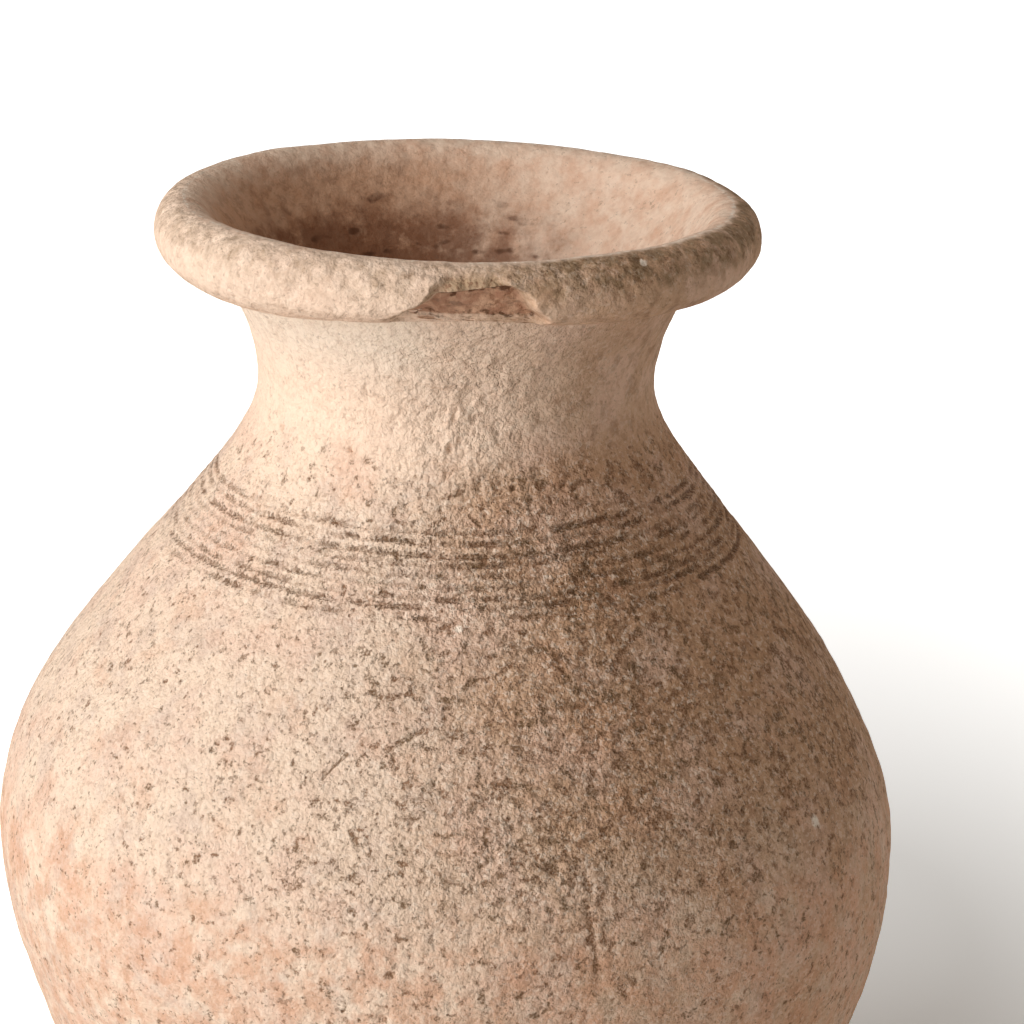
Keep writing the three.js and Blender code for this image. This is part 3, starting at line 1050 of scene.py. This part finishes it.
def mark_share(clay, dirty, upper):
    """Small dark marks, gathered in drifts."""
    drifts = clay.swing(clay.noise(2.4, 3, 0.6, 44), 0.6)
    share = clay.plus(clay.noise(0.7, 2, 0.6, 81), drifts)
    share = clay.minus(share, clay.ramp(dirty, 0, 0.9, 0.66, 0.59))
    sparse = clay.ramp(upper, 0, 1, 1, 0.5)
    return clay.times(clay.ramp(share, 0, 0.07), sparse)


def broken_open(clay, colour, tone, broken_up):
    """The scar over the chip, also painted shade on the chip's left wall, the chip's red core
    with its streaks, and the painted shade in its gaps.
    """
    red = clay.mix(clay.ramp(clay.noise(1.6, 3, 0.6, 31), 0.4, 0.62), CORE_RED, CORE_TAN)
    streaks = clay.noise(1.3, 3, 0.6, 36, stretched=(0.5, 0.5, 1.6))
    red = clay.mix(clay.ramp(streaks, 0.52, 0.66, 0, 0.5), red, STREAK_AND_SHADE_BROWN)
    tan = clay.mix(clay.ramp(tone, 0.2, 0.5), SAND_DARK, SCAR_TAN)
    # Scar tan, also painted shade on the chip's left wall
    colour = clay.mix(clay.times(clay.mask("scar"), 0.75), colour, tan)
    colour = clay.mix(clay.times(clay.mask("core"), 0.85), colour, red)
    # Painted shade in the chip's gaps
    shaded_gap = clay.times(clay.mask("void"), broken_up)
    return clay.mix(clay.ramp(shaded_gap, 0.2, 0.8, 0, 0.85), colour, STREAK_AND_SHADE_BROWN)


def mouth_shaded_and_stained(clay, colour):
    """Painted shade and stains inside the mouth, darker further down, and blots."""
    mouth_shade = clay.mask("mouth_shade")
    # Painted shade on the mouth's side without light
    colour = clay.mix(clay.times(mouth_shade, 0.7), colour, MOUTH_SHADE_TONE)
    # Painted shade and stains, darker further down
    clouds = clay.plus(1, clay.swing(clay.noise(3.6, 4, 0.66, 70), 3.5))
    shade_and_stain = clay.times(clay.mask("deep"), clouds)
    colour = clay.mix(clay.ramp(shade_and_stain, 0, 1.1, 0, 0.75), colour, STAIN_AND_SHADE)
    mottled = clay.ramp(clay.noise(1.7, 4, 0.66, 74), 0.44, 0.64, 0, 0.34)
    colour = clay.mix(clay.times(mouth_shade, mottled), colour, STAIN_AND_SHADE)
    blots = clay.noise(2.1, 1, 0.5, 72, stretched=(0.6, 0.6, 1.2))
    blots = clay.times(clay.ramp(blots, 0.6, 0.72, 0, 0.7), clay.ramp(shade_and_stain, 0, 0.8))
    return clay.mix(blots, colour, BLOT)


def clay_relief(clay, rough, coarse_gap, fine_gap, sunk):
    """Lumps and the finer grains on them, with the patina and the marks sunk between."""
    lumps = clay.times(clay.swing(clay.noise(2.4, 1, 0.5, 5), 1.3), clay.mask("lumps"))
    grains = clay.plus(clay.swing(clay.noise(0.85, 2, 0.66, 6), 0.75), 0.15)
    for share, depth in ((coarse_gap, 0.2), (fine_gap, 0.1), *sunk):
        grains = clay.minus(grains, clay.times(share, depth))
    return clay.plus(lumps, clay.times(grains, rough))


def clay_material(name):
    """Weathered clay, painted by the masks that the meshes carry."""
    material = bpy.data.materials.new(name)
    clay = Clay(material)
    shady = clay.mask("shady")
    upper = clay.mask("upper")
    rough = clay.mask("rough")
    coarse_gap, fine_gap, tone = sand(clay)
    colour = ground(clay, shady, upper)
    colour = reddened(clay, colour, upper)
    colour = soiled(clay, colour, shady, upper)
    colour = sanded(clay, colour, tone, rough, upper)

    dirty = clay.plus(clay.mask("grime"), clay.swing(clay.noise(5, 3, 0.6, 51), 1))
    groove = comb_shade(clay)
    bare = clay.minus(1, clay.times(upper, 0.8))
    patina = patina_share(clay, dirty, groove, bare)
    brown = clay.mix(clay.ramp(clay.noise(4, 2, 0.5, 60), 0.42, 0.6), PATINA, OLIVE)
    colour = clay.mix(clay.times(patina, 0.86), colour, brown)
    marks = mark_share(clay, dirty, upper)
    colour = clay.mix(clay.times(marks, 0.5), colour, FLECK)
    chain = clay.times(groove, clay.ramp(clay.noise(0.5, 2, 0.6, 19), 0.47, 0.58))
    colour = clay.mix(clay.times(chain, 0.6), colour, FLECK)

    broken_up = clay.plus(1, clay.swing(clay.noise(0.8, 3, 0.62, 21), 4))
    # Pale places, and the painted highlight along the crest
    light = clay.ramp(clay.times(clay.mask("pale"), broken_up), 0.2, 0.6)
    colour = clay.mix(light, colour, PALE)
    colour = broken_open(clay, colour, tone, broken_up)
    colour = mouth_shaded_and_stained(clay, colour)

    sunk = ((patina, 0.16), (marks, 0.12), (chain, 0.15))
    relief = clay_relief(clay, rough, coarse_gap, fine_gap, sunk)
    bump = clay.node("ShaderNodeBump", {"Distance": 1 * MM, "Height": relief})
    surface = {"Base Color": colour, "Normal": bump.outputs[0]}
    surface.update({"Roughness": 0.95, "Specular IOR Level": 0.15})
    shader = clay.node("ShaderNodeBsdfPrincipled", surface)
    clay.node("ShaderNodeOutputMaterial", {"Surface": shader.outputs[0]})
    return material


# The photograph's camera: lens, place and turn, by its height over the crest
LENS = 130.9
SENSOR = 36.0
CAMERA_SIDE = 0.78
CAMERA_DISTANCE = 505.75
CAMERA_OVER_CREST = 116.8
CAMERA_PITCH = 0.3113
CAMERA_ROLL = 0.0230
CAMERA_YAW = 0.0142


def camera():
    data = bpy.data.cameras.new("camera")
    data.lens = LENS
    data.sensor_width = SENSOR
    data.clip_start = 0.01
    data.clip_end = 100
    forward = Vector((math.sin(CAMERA_YAW), math.cos(CAMERA_YAW), 0))
    ahead = forward * math.cos(CAMERA_PITCH) - Vector((0, 0, math.sin(CAMERA_PITCH)))
    level = Vector((math.cos(CAMERA_YAW), -math.sin(CAMERA_YAW), 0))
    upright = level.cross(ahead)
    right = math.cos(CAMERA_ROLL) * level + math.sin(CAMERA_ROLL) * upright
    up = math.cos(CAMERA_ROLL) * upright - math.sin(CAMERA_ROLL) * level
    turn = Matrix((right, up, -ahead)).transposed().to_4x4()
    place = Vector((CAMERA_SIDE, -CAMERA_DISTANCE, TOTAL_HEIGHT + CAMERA_OVER_CREST)) * MM
    bpy.context.scene.camera = added("camera", data)
    bpy.context.scene.camera.matrix_world = Matrix.Translation(place) @ turn


# Soft boxes aimed at the jar's middle: name, place and size in metres, watts and colour
LIT_PLACE = Vector((0, 0, 0.1))
SOFT_BOXES = (
    ("key", (-0.87, -0.5, 0.44), (0.85, 1.25), 14.0, (1.0, 1.0, 1.0)),
    ("fill", (0.7, 0.55, 0.35), (0.5, 0.5), 1.2, (1.0, 0.96, 0.9)),
    ("bounce", (0.45, -0.8, 0.06), (0.7, 0.3), 0.9, (1.0, 0.94, 0.86)),
)
AMBIENT = 0.19
AMBIENT_COLOUR = (1.0, 0.93, 0.84, 1)


def soft_box(name, place, size, power, colour):
    data = bpy.data.lights.new(name, "AREA")
    data.shape = "RECTANGLE"
    data.size, data.size_y = size
    data.energy = power
    data.color = colour
    made = added(name, data)
    made.location = place
    made.rotation_euler = (LIT_PLACE - Vector(place)).to_track_quat("-Z", "Y").to_euler()


def surroundings():
    """A world that gives a weak warm light and is pale where it is seen."""
    world = bpy.data.worlds.new("world")
    bpy.context.scene.world = world
    air = Nodes(world)
    ray = air.node("ShaderNodeLightPath", {}).outputs
    seen = air.most(ray["Is Camera Ray"], ray["Is Glossy Ray"])
    seen = air.most(seen, ray["Is Transmission Ray"])
    weak = air.node("ShaderNodeBackground", {"Strength": AMBIENT, "Color": AMBIENT_COLOUR})
    pale = air.node("ShaderNodeBackground", {"Strength": 1.0})
    both = air.node("ShaderNodeMixShader", {0: seen, 1: weak.outputs[0], 2: pale.outputs[0]})
    air.node("ShaderNodeOutputWorld", {"Surface": both.outputs[0]})


# The floor in metres: its half width, its tones, and the oval over which the seen floor's glow, a
# painted light, rises away from the jar's shadow
FLOOR_HALF = 30.0
FLOOR_COLOUR = (0.88, 0.88, 0.88, 1)
FLOOR_COLOUR_SEEN = (1.3, 1.3, 1.3, 1)
SHADOW_MIDDLE = (0.078, 0.129, 0)
SHADOW_SQUEEZE = (2.13, 1, 0)
SHADOW_FADE = (0.04, 0.39)


def floor_material():
    """Pale, and white where it is seen, but for the jar's shadow; the seen floor also glows, more
    the further it lies from the shadow's middle, so that the shadow's fade is painted light.
    """
    material = bpy.data.materials.new("floor")
    pale = Nodes(material)
    seen = pale.node("ShaderNodeLightPath", {}).outputs["Is Camera Ray"]
    colour = pale.mix(seen, FLOOR_COLOUR, FLOOR_COLOUR_SEEN)
    matt = pale.node("ShaderNodeBsdfDiffuse", {"Color": colour})
    place = pale.node("ShaderNodeTexCoord", {}).outputs["Object"]
    place = pale.vector("SUBTRACT", place, SHADOW_MIDDLE)
    place = pale.vector("MULTIPLY", place, SHADOW_SQUEEZE)
    away = pale.node("ShaderNodeVectorMath", {0: place}, operation="LENGTH").outputs["Value"]
    lift = pale.times(seen, pale.ramp(away, *SHADOW_FADE, kind="LINEAR"))
    glow = pale.node("ShaderNodeEmission", {"Strength": lift})
    both = pale.node("ShaderNodeAddShader", {0: matt.outputs[0], 1: glow.outputs[0]})
    pale.node("ShaderNodeOutputMaterial", {"Surface": both.outputs[0]})
    return material


def studio_floor():
    corners = ((-1, -1, 0), (1, -1, 0), (1, 1, 0), (-1, 1, 0))
    mesh = bpy.data.meshes.new("floor")
    mesh.from_pydata([Vector(corner) * FLOOR_HALF for corner in corners], [], [(0, 1, 2, 3)])
    mesh.materials.append(floor_material())
    added("floor", mesh)


def dress(piece, node, slot):
    piece.data.materials.append(clays[slot])
    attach(piece, "root")
    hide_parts(node)


bpy.context.scene.view_settings.view_transform = "Standard"
camera()
for box in SOFT_BOXES:
    soft_box(*box)
surroundings()
studio_floor()

clays = {slot: clay_material(slot) for slot in ("body_clay", "neck_clay", "rim_clay")}
dress(base_disc(), "base_disc", "body_clay")
dress(lower_body(), "lower_body", "body_clay")
dress(upper_body(), "upper_body", "body_clay")
dress(neck(), "neck", "neck_clay")
dress(rim_collar(), "rim_collar", "rim_clay")
